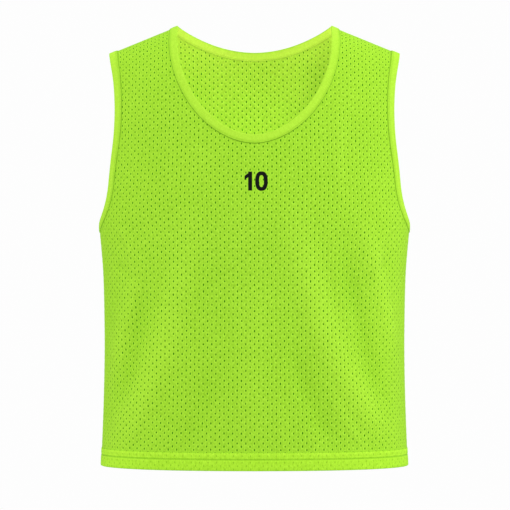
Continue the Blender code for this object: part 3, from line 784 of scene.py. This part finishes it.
def arm_stations(count, cover, mirror):
    fp, fn = edge_rows(armhole(-1), -1, count, cover, -1, mirror)
    bp, bn = edge_rows(armhole(1), 1, count, cover, -1, mirror)
    low = seam_station((fp[0], fn[0]), (bp[0], bn[0]))
    high = seam_station((fp[-1], fn[-1]), (bp[-1], bn[-1]))
    points = [low[0], *fp[1:-1], high[0], *bp[-2:0:-1]]
    normals = [low[1], *fn[1:-1], high[1], *bn[-2:0:-1]]
    return np.array(points), np.array(normals)


def between(rows, share):
    """Values at a share of the way inward."""
    place = min(max(share, 0.0), 1.0) * WALK_STEPS
    low = min(int(place), WALK_STEPS - 1)
    value = rows[:, low] + (rows[:, low + 1] - rows[:, low]) * (place - low)
    if share > 1:
        value = value + (rows[:, -1] - rows[:, -2]) * (share - 1) * WALK_STEPS
    return value


def make_tape(name, points, normals, painted_shadow_line, material):
    """A knitted tape folded over a raw edge, with its stitched-down borders slightly sunken."""
    edge, n = points[:, 0], normals[:, 0]
    away = edge - points[:, 2]
    away -= n * np.sum(away * n, axis=1)[:, None]
    away /= np.linalg.norm(away, axis=1)[:, None]
    centre = edge + away * TAPE_CLEARANCE

    def layer(share, out):
        return between(points, share) + between(normals, share) * out

    loop = [layer(s, out) for s, out, tone in TAPE_SHAPE]
    # Painted light on the tape: a shadow line at its stitched border, a shaded stitch groove, and a
    # highlight on its crest and fold.
    painted_light_values = [painted_shadow_line if tone == -1.0 else tone for s, out, tone in TAPE_SHAPE]
    for angle in (60, 36, 12, -12, -36, -60):
        a = radians(angle)
        loop.append(centre + (n * sin(a) + away * cos(a)) * TAPE_FOLD)
    loop += [layer(s, -out) for s, out, tone in TAPE_SHAPE[::-1]]
    painted_light_values += [TAPE_FOLD_PAINTED_HIGHLIGHT] * 6 + painted_light_values[::-1]
    loop += [layer(s, -TAPE_INSIDE) for s in TAPE_INSIDE_SHARES]
    for angle in (-45, 0, 45):
        a = radians(angle)
        loop.append(centre + (n * sin(a) + away * cos(a)) * TAPE_INSIDE)
    loop += [layer(s, TAPE_INSIDE) for s in TAPE_INSIDE_SHARES[::-1]]
    # The enclosed inside layer is painted dark as shade.
    painted_light_values += [-1.0] * (len(loop) - len(painted_light_values))
    return sweep(name, np.array(loop).transpose(1, 0, 2), True, material, painted_light_values)


def make_stitches(name, runs, material):
    """Rows of short thread stitches; each run gives a path and the cloth's outward direction."""
    verts, faces = [], []
    ring = np.radians(SIXTHS)
    for path, out in runs:
        run = measured(path)
        count = int(run[-1] / STITCH_GAP)
        where = (np.arange(count) + 0.5) * run[-1] / count
        at = np.stack([np.interp(where, run, path[:, k]) for k in range(3)], axis=-1)
        ahead = np.stack([np.interp(where + 0.001, run, path[:, k]) for k in range(3)], axis=-1)
        behind = np.stack([np.interp(where - 0.001, run, path[:, k]) for k in range(3)], axis=-1)
        up = np.stack([np.interp(where, run, out[:, k]) for k in range(3)], axis=-1)
        along = ahead - behind
        along /= np.linalg.norm(along, axis=1)[:, None]
        up -= along * np.sum(up * along, axis=1)[:, None]
        up /= np.linalg.norm(up, axis=1)[:, None]
        aside = np.cross(along, up)
        for i in range(count):
            first = len(verts)
            for f, lift, thick in STITCH_PROFILE:
                c = at[i] + along[i] * f * STITCH_LENGTH / 2 + up[i] * lift * THREAD_HALF
                for a in ring:
                    verts.append(c + (aside[i] * cos(a) + up[i] * sin(a)) * THREAD_HALF * thick)
            for r in range(len(STITCH_PROFILE) - 1):
                for k in range(6):
                    m = (k + 1) % 6
                    faces.append((first + r * 6 + k, first + r * 6 + 6 + k,
                                  first + r * 6 + 6 + m, first + r * 6 + m))
            faces.append(tuple(first + k for k in range(6)))
            last = first + 6 * (len(STITCH_PROFILE) - 1)
            faces.append(tuple(last + k for k in range(5, -1, -1)))
    uv = np.array([(v[0], v[2]) for v in verts])
    return finish_mesh(name, verts, faces, material, uv)


def seam_path(kind, mirror):
    """The line of a seam with its outward direction: up a side, or along a shoulder."""
    if kind == "side":
        panel = front
        low = panel.q_at(np.ones(1), np.array([0.0252]))[0]
        high = float(q_at_level(1.0, UNDERARM_LEVEL))
        q = np.linspace(low, high, 160)
        t = np.ones(160)
    else:
        ends = neckline(-1)[0][-1], armhole(-1)[0][-1]
        inset = (ends[1] - ends[0]) * SHOULDER_SEAM_INSET
        t = np.linspace(ends[0] + inset, ends[1] - inset, 60)
        q = np.zeros(60)
    p, n = folded(mirror * t, q, -1)
    p[:, 1] = 0
    return p, n


def make_allowance(name, kind, mirror, material):
    """The two panels' seam allowances, lying together inside the seam."""
    p, n = seam_path(kind, mirror)
    side = np.array([0.0, 1.0, 0.0]) * SEAM_ALLOWANCE_HALF
    loop = []
    for depth, wide in ((0.0002, 0.5), (0.0008, 1.0), (0.5, 1.0), (0.97, 1.0), (1.0, 0.5)):
        d = depth if depth < 0.01 else depth * SEAM_ALLOWANCE
        loop.append(p - n * d + side * wide)
    for depth, wide in ((1.0, 0.5), (0.97, 1.0), (0.5, 1.0), (0.0008, 1.0), (0.0002, 0.5)):
        d = depth if depth < 0.01 else depth * SEAM_ALLOWANCE
        loop.append(p - n * d - side * wide)
    return sweep(name, np.array(loop).transpose(1, 0, 2), False, material)


# Materials.

def node(tree, kind, place, **values):
    out = tree.nodes.new(kind)
    out.location = place
    for key, value in values.items():
        setattr(out, key, value)
    return out


def maths(tree, operation, *sources, clamp=False):
    """One step of arithmetic; each source is a number or a socket."""
    out = node(tree, "ShaderNodeMath", (0, 0), operation=operation, use_clamp=clamp)
    for i, source in enumerate(sources):
        if isinstance(source, (int, float)):
            out.inputs[i].default_value = source
        else:
            tree.links.new(source, out.inputs[i])
    return out.outputs[0]


def soft_step(tree, value, low, high):
    out = node(tree, "ShaderNodeMapRange", (0, 0), interpolation_type="SMOOTHSTEP")
    tree.links.new(value, out.inputs["Value"])
    out.inputs["From Min"].default_value = low
    out.inputs["From Max"].default_value = high
    return out.outputs["Result"]


def new_group(name, inputs, outputs):
    """A shared effect; inputs are name, kind and usual value, outputs are varying values."""
    group = bpy.data.node_groups.new(name, "ShaderNodeTree")
    for label, kind, value in inputs:
        socket = group.interface.new_socket(name=label, in_out="INPUT",
                                            socket_type="NodeSocket" + kind)
        if value is not None:
            socket.default_value = value
    for label in outputs:
        group.interface.new_socket(name=label, in_out="OUTPUT",
                                   socket_type="NodeSocketFloat")
    start = node(group, "NodeGroupInput", (-1200, 0))
    end = node(group, "NodeGroupOutput", (900, 0))
    return group, start.outputs, end.inputs


def knit_group():
    """Fine stitches of knitted yarn: their height, and a slight change of tone."""
    group, given, result = new_group("knit stitches", (
        ("Vector", "Vector", None), ("Wale Width", "Float", NET_KNIT[0]),
        ("Course Height", "Float", NET_KNIT[1]), ("Unevenness", "Float", NET_KNIT[3]),
        ("Patch Size", "Float", YARN_PATCH)), ("Height", "Tone"))
    split = node(group, "ShaderNodeSeparateXYZ", (0, 0))
    group.links.new(given["Vector"], split.inputs[0])
    wale = maths(group, "DIVIDE", split.outputs[0], given["Wale Width"])
    course = maths(group, "DIVIDE", split.outputs[1], given["Course Height"])
    ridge = maths(group, "COSINE", maths(group, "MULTIPLY", wale, 2 * pi))
    lean = maths(group, "ABSOLUTE", maths(group, "SINE", maths(group, "MULTIPLY", wale, pi)))
    loop = maths(group, "SINE", maths(group, "MULTIPLY", maths(group, "ADD", course, lean), 2 * pi))
    both = maths(group, "ADD", maths(group, "MULTIPLY", ridge, 0.3),
                 maths(group, "MULTIPLY", loop, 0.2))
    stretched = node(group, "ShaderNodeVectorMath", (0, 0), operation="MULTIPLY")
    stretched.inputs[1].default_value = (1.0, 0.45, 1.0)
    group.links.new(given["Vector"], stretched.inputs[0])
    noise = node(group, "ShaderNodeTexNoise", (0, 0))
    noise.inputs["Detail"].default_value = 2.5
    noise.inputs["Roughness"].default_value = 0.6
    group.links.new(stretched.outputs[0], noise.inputs["Vector"])
    group.links.new(maths(group, "DIVIDE", 1.0, given["Patch Size"]), noise.inputs["Scale"])
    uneven = maths(group, "SUBTRACT", noise.outputs[0], 0.5)
    uneven = maths(group, "MULTIPLY", uneven, given["Unevenness"])
    group.links.new(maths(group, "ADD", both, uneven), result["Height"])
    group.links.new(maths(group, "ADD", maths(group, "MULTIPLY", both, 0.5),
                          maths(group, "MULTIPLY", uneven, 2.0)), result["Tone"])
    return group


def dots_group():
    """Faint traces of the net's closed holes where the cloth lies double; their dent is bump and
    their darker colour is painted shade.
    """
    group, given, result = new_group("hole traces", (
        ("Vector", "Vector", None), ("Column Spacing", "Float", COLUMN_SPACING),
        ("Row Pitch", "Float", ROW_PITCH), ("Half Width", "Float", HOLE_HALF_WIDTH),
        ("Half Height", "Float", HOLE_HALF_HEIGHT)), ("Mask",))
    split = node(group, "ShaderNodeSeparateXYZ", (0, 0))
    group.links.new(given["Vector"], split.inputs[0])
    double = maths(group, "MULTIPLY", given["Column Spacing"], 2.0)
    masks = []
    for shift in (0.0, 0.5):
        across = maths(group, "DIVIDE", split.outputs[0], double)
        across = maths(group, "FRACT", maths(group, "ADD", across, shift))
        across = maths(group, "SUBTRACT", across, 0.5)
        along = maths(group, "DIVIDE", split.outputs[1], given["Row Pitch"])
        along = maths(group, "FRACT", maths(group, "ADD", along, shift))
        along = maths(group, "SUBTRACT", along, 0.5)
        across = maths(group, "DIVIDE", maths(group, "MULTIPLY", across, double),
                       given["Half Width"])
        along = maths(group, "DIVIDE", maths(group, "MULTIPLY", along, given["Row Pitch"]),
                      given["Half Height"])
        reach = maths(group, "SQRT", maths(group, "ADD", maths(group, "MULTIPLY", across, across),
                                           maths(group, "MULTIPLY", along, along)))
        masks.append(soft_step(group, reach, 1.3, 0.6))
    group.links.new(maths(group, "MAXIMUM", *masks), result["Mask"])
    return group


def number_group():
    """The plain printed number ten, as a mask over the chest."""
    group, given, result = new_group("printed number", (
        ("Vector", "Vector", None), ("Middle", "Float", NUMBER_X), ("Level", "Float", NUMBER_LEVEL),
        ("Half Height", "Float", NUMBER_HALF_HEIGHT)), ("Mask",))
    split = node(group, "ShaderNodeSeparateXYZ", (0, 0))
    group.links.new(given["Vector"], split.inputs[0])
    # Across and up, in half heights of the number.
    x = maths(group, "DIVIDE", maths(group, "SUBTRACT", split.outputs[0], given["Middle"]),
              given["Half Height"])
    z = maths(group, "DIVIDE", maths(group, "SUBTRACT", split.outputs[2], given["Level"]),
              given["Half Height"])

    def within(value, low, high):
        edge = 0.02
        return maths(group, "MULTIPLY", soft_step(group, value, low - edge, low + edge),
                     soft_step(group, value, high + edge, high - edge))

    stem = maths(group, "MULTIPLY", within(x, -0.82, -0.40), within(z, -1.0, 1.0))
    slope = maths(group, "SUBTRACT", z, maths(group, "MULTIPLY", x, 0.75))
    flag = maths(group, "MULTIPLY", within(x, -1.20, -0.60), within(slope, 1.02, 1.46))
    flag = maths(group, "MULTIPLY", flag, within(z, 0.0, 1.0))
    across = maths(group, "ABSOLUTE", maths(group, "SUBTRACT", x, 0.58))
    up = maths(group, "ABSOLUTE", z)

    def oval(wide, tall):
        a = maths(group, "POWER", maths(group, "DIVIDE", across, wide), 2.5)
        b = maths(group, "POWER", maths(group, "DIVIDE", up, tall), 2.5)
        return maths(group, "ADD", a, b)

    ring = maths(group, "MULTIPLY", soft_step(group, oval(0.66, 1.02), 1.03, 0.97),
                 soft_step(group, oval(0.25, 0.62), 0.94, 1.06))
    marks = maths(group, "MAXIMUM", maths(group, "MAXIMUM", stem, flag), ring)
    facing = soft_step(group, split.outputs[1], 0.0, -0.02)
    group.links.new(maths(group, "MULTIPLY", marks, facing), result["Mask"])
    return group


def mix_colour(tree, factor, a, b):
    out = node(tree, "ShaderNodeMix", (0, 0), data_type="RGBA")
    for socket, value in ((out.inputs["Factor"], factor), (out.inputs[6], a), (out.inputs[7], b)):
        if isinstance(value, tuple):
            socket.default_value = value
        elif isinstance(value, (int, float)):
            socket.default_value = value
        else:
            tree.links.new(value, socket)
    return out.outputs[2]


def cloth_material(name, colour, knitting, holes=None, number=False):
    """Dyed knitted polyester; holes are modelled, or only traces, or there is a tape's border. Hole
    rims, fold crests and edge highlights are painted lighter; hole floors, troughs, traces and edge
    lines are painted darker as shade.
    """
    wale, course, bump, unevenness, roughness = knitting
    mat = bpy.data.materials.new(name)
    mat.use_nodes = True
    tree = mat.node_tree
    shader = tree.nodes["Principled BSDF"]
    shader.inputs["Sheen Weight"].default_value = 0.02
    shader.inputs["Sheen Roughness"].default_value = 0.5
    shader.inputs["Specular IOR Level"].default_value = 0.06
    uv = node(tree, "ShaderNodeUVMap", (0, 0), uv_map="UVMap")
    stitches = node(tree, "ShaderNodeGroup", (0, 0))
    stitches.node_tree = knit
    stitches.inputs["Wale Width"].default_value = wale
    stitches.inputs["Course Height"].default_value = course
    stitches.inputs["Unevenness"].default_value = unevenness
    tree.links.new(uv.outputs[0], stitches.inputs["Vector"])
    coord = node(tree, "ShaderNodeTexCoord", (0, 0))
    patches = node(tree, "ShaderNodeTexNoise", (0, 0))
    patches.inputs["Scale"].default_value = PATCH_SCALE
    patches.inputs["Detail"].default_value = 3.0
    tree.links.new(coord.outputs["Object"], patches.inputs["Vector"])

    def scaled(value, share):
        return maths(tree, "MULTIPLY", value, share)

    def attribute(label):
        return node(tree, "ShaderNodeAttribute", (0, 0), attribute_name=label).outputs["Fac"]

    wide = scaled(maths(tree, "SUBTRACT", patches.outputs[0], 0.5), PATCH_TONE)
    fine = scaled(stitches.outputs["Tone"], STITCH_TONE)
    tone = maths(tree, "ADD", 1.0, maths(tree, "ADD", wide, fine))
    height = stitches.outputs["Height"]
    depth = None
    if holes == "modelled":
        # Hole rims are painted lighter as a highlight, and hole floors are painted dark as shade.
        rim = attribute("hole_painted_light")
        tone = maths(tree, "ADD", tone, scaled(maths(tree, "MAXIMUM", rim, 0.0), RIM_PAINTED_HIGHLIGHT))
        # Fold crests are painted lighter and troughs darker.
        tone = maths(tree, "ADD", tone, scaled(attribute("ridge"), FOLD_PAINTED_LIGHT))
        depth = maths(tree, "MAXIMUM", scaled(rim, -1.0), 0.0)
    elif holes == "traces":
        dots = node(tree, "ShaderNodeGroup", (0, 0))
        dots.node_tree = traces
        tree.links.new(uv.outputs[0], dots.inputs["Vector"])
        # The traces' darker colour is painted shade.
        depth = scaled(dots.outputs["Mask"], TRACE_PAINTED_SHADE)
        height = maths(tree, "SUBTRACT", height, dots.outputs["Mask"])
    if holes in ("traces", "tape"):
        # Painted highlight and painted shade along hem and tape edges.
        border = attribute("edge_painted_light")
        tone = maths(tree, "ADD", tone, scaled(maths(tree, "MAXIMUM", border, 0.0), EDGE_PAINTED_HIGHLIGHT))
        line = scaled(maths(tree, "MAXIMUM", scaled(border, -1.0), 0.0), EDGE_PAINTED_SHADE)
        depth = line if depth is None else maths(tree, "MAXIMUM", depth, line)

    def shaded(share):
        return tuple(c * k for c, k in zip(colour, share)) + (1.0,)

    # Where this cloth is darker it is also a deeper green.
    share = maths(tree, "DIVIDE", maths(tree, "SUBTRACT", tone, LOW_TONE), TONE_SPAN, clamp=True)
    base = mix_colour(tree, share, shaded(LOW_SHARE), shaded(HIGH_SHARE))
    if depth is not None:
        # Mix towards the colour of painted shade.
        base = mix_colour(tree, depth, base, shaded(PAINTED_SHADE_SHARE))
    rough = maths(tree, "ADD", scaled(stitches.outputs["Tone"], STITCH_GLOSS), roughness, clamp=True)
    if number:
        print_mask = node(tree, "ShaderNodeGroup", (0, 0))
        print_mask.node_tree = ten
        tree.links.new(coord.outputs["Object"], print_mask.inputs["Vector"])
        base = mix_colour(tree, print_mask.outputs["Mask"], base, PRINT_BLACK)
        rough = maths(tree, "SUBTRACT", rough, scaled(print_mask.outputs["Mask"], PRINT_GLOSS))
    tree.links.new(base, shader.inputs["Base Color"])
    tree.links.new(rough, shader.inputs["Roughness"])
    relief = node(tree, "ShaderNodeBump", (0, 0))
    relief.inputs["Strength"].default_value = bump
    relief.inputs["Distance"].default_value = RELIEF_HEIGHT
    tree.links.new(height, relief.inputs["Height"])
    tree.links.new(relief.outputs[0], shader.inputs["Normal"])
    return mat


# Camera, light and surroundings.

def set_camera():
    camera = bpy.data.cameras.new("photo_camera")
    camera.sensor_width = SENSOR_WIDTH
    camera.lens = SENSOR_WIDTH * CAMERA_DISTANCE / (PHOTO_PIXELS * PHOTO_METRES_PER_PIXEL)
    camera.dof.use_dof = False
    ob = link(bpy.data.objects.new("photo_camera", camera))
    ob.location = (CAMERA_X, -CAMERA_DISTANCE, CAMERA_LEVEL)
    ob.rotation_euler = (radians(90), 0, 0)
    bpy.context.scene.camera = ob


def area_light(name, place, aim, size, power, spread, colour):
    light = bpy.data.lights.new(name, "AREA")
    light.shape = "DISK"
    light.size = size
    light.energy = power
    light.color = colour
    light.spread = radians(spread)
    ob = link(bpy.data.objects.new(name, light))
    ob.location = place
    ob.rotation_euler = (Vector(aim) - Vector(place)).to_track_quat("-Z", "Y").to_euler()
    ob.visible_camera = False


def set_studio():
    scene = bpy.context.scene
    scene.view_settings.view_transform = "Standard"
    world = bpy.data.worlds.new("studio")
    scene.world = world
    world.use_nodes = True
    tree = world.node_tree
    tree.nodes.clear()
    out = node(tree, "ShaderNodeOutputWorld", (600, 0))
    mix = node(tree, "ShaderNodeMixShader", (400, 0))
    path = node(tree, "ShaderNodeLightPath", (0, 300))
    for i, strength, place in ((1, WORLD_LIGHT, 0), (2, BACKDROP_WHITE, -200)):
        plain = node(tree, "ShaderNodeBackground", (100, place))
        plain.inputs["Color"].default_value = (1.0, 1.0, 1.0, 1.0)
        plain.inputs["Strength"].default_value = strength
        tree.links.new(plain.outputs[0], mix.inputs[i])
    tree.links.new(path.outputs["Is Camera Ray"], mix.inputs[0])
    tree.links.new(mix.outputs[0], out.inputs[0])
    for row in LIGHTS:
        area_light(*row)
    bpy.ops.mesh.primitive_circle_add(vertices=96, radius=1.2, fill_type="NGON", location=(0, 0, 0))
    floor = bpy.context.object
    floor.name = floor.data.name = "floor"
    floor.data.transform(Matrix.Translation((0, 0, -0.98)))
    pale = bpy.data.materials.new("pale floor")
    pale.use_nodes = True
    pale.node_tree.nodes["Principled BSDF"].inputs["Base Color"].default_value = (0.86, 0.86, 0.86, 1)
    pale.node_tree.nodes["Principled BSDF"].inputs["Roughness"].default_value = 0.8
    floor.data.materials.append(pale)


def declare(piece, node_name, slot, **cut):
    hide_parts(node_name)
    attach(piece, "root")


set_camera()
set_studio()
knit = knit_group()
traces = dots_group()
ten = number_group()
front_cloth = cloth_material("front net cloth", NET_GREEN, NET_KNIT, "modelled", number=True)
back_cloth = cloth_material("back net cloth", NET_GREEN, NET_KNIT, "modelled")
hem_cloth = cloth_material("hem cloth", HEM_GREEN, NET_KNIT, "traces")
tape_cloth = cloth_material("tape cloth", TAPE_GREEN, TAPE_KNIT, "tape")
thread = cloth_material("sewing thread", THREAD_GREEN, THREAD_TWIST)

front = Panel(-1)
back = Panel(1)
nets = [make_net("front_net", front, front_cloth), make_net("back_net", back, back_cloth)]
hems = [make_hem("front_hem", front, hem_cloth), make_hem("back_hem", back, hem_cloth)]
neck_rows = neck_stations(170, 110, NECK_TAPE_COVER)
arm_rows = {m: arm_stations(120, ARM_TAPE_COVER, m) for m in (1, -1)}
neck_tape = make_tape("neck_tape", *neck_rows, NECK_PAINTED_SHADOW_LINE, tape_cloth)
arm_tapes = {m: make_tape(name, *arm_rows[m], ARM_PAINTED_SHADOW_LINE, tape_cloth)
             for m, name in ((1, "left_arm_tape"), (-1, "right_arm_tape"))}


def tape_runs(rows):
    """Stitch paths along a tape's sewn border, outside and inside."""
    p, n = between(rows[0], TAPE_STITCH_SHARE), between(rows[1], TAPE_STITCH_SHARE)
    p, n = np.vstack([p, p[:1]]), np.vstack([n, n[:1]])
    return [(p + n * TAPE_GROOVE_OUT, n), (p - n * TAPE_GROOVE_OUT, -n)]


def hem_runs(panel):
    t = panel.t_of(np.linspace(-panel.half, panel.half, 400))
    p, n, _ = at_height(panel, t, HEM_STITCH_HEIGHT)
    inside = HEM_OUTSIDE[-1][1] - 2 * HEM_FOLD_RADIUS - HEM_WALL_HALF
    return [(p + n * (HEM_GROOVE_OUT + HEM_WALL_HALF), n), (p + n * inside, -n)]


neck_stitches = make_stitches("neck_stitches", tape_runs(neck_rows), thread)
arm_stitches = {m: make_stitches(name, tape_runs(arm_rows[m]), thread)
                for m, name in ((1, "left_arm_stitches"), (-1, "right_arm_stitches"))}
hem_stitches = [make_stitches("front_hem_stitches", hem_runs(front), thread),
                make_stitches("back_hem_stitches", hem_runs(back), thread)]
allowances = [make_allowance(name, kind, m, hem_cloth) for name, kind, m in (
    ("left_side_allowance", "side", 1), ("right_side_allowance", "side", -1),
    ("left_shoulder_allowance", "shoulder", 1), ("right_shoulder_allowance", "shoulder", -1))]

for i, node_name in ((0, "front_panel"), (1, "back_panel")):
    declare(hem_stitches[i], node_name, "mesh_cloth")
    declare(hems[i], node_name, "mesh_cloth", flat=(0.51, 0.053), held="folded",
            with_pieces=[hem_stitches[i]])
    declare(nets[i], node_name, "mesh_cloth", flat=(0.54, 0.62), held="hung", area=0.28,
            with_pieces=[hems[i]])
for piece in allowances:
    declare(piece, "back_panel", "mesh_cloth", flat=(0.010, 0.33 if "side" in piece.name else 0.085),
            held="folded")
declare(neck_stitches, "neck_binding", "binding_tape")
declare(neck_tape, "neck_binding", "binding_tape", flat=(0.026, 0.80), held="folded",
        with_pieces=[neck_stitches])
for m, node_name in ((1, "left_armhole_binding"), (-1, "right_armhole_binding")):
    declare(arm_stitches[m], node_name, "binding_tape")
    declare(arm_tapes[m], node_name, "binding_tape", flat=(0.027, 0.56), held="folded",
            with_pieces=[arm_stitches[m]])
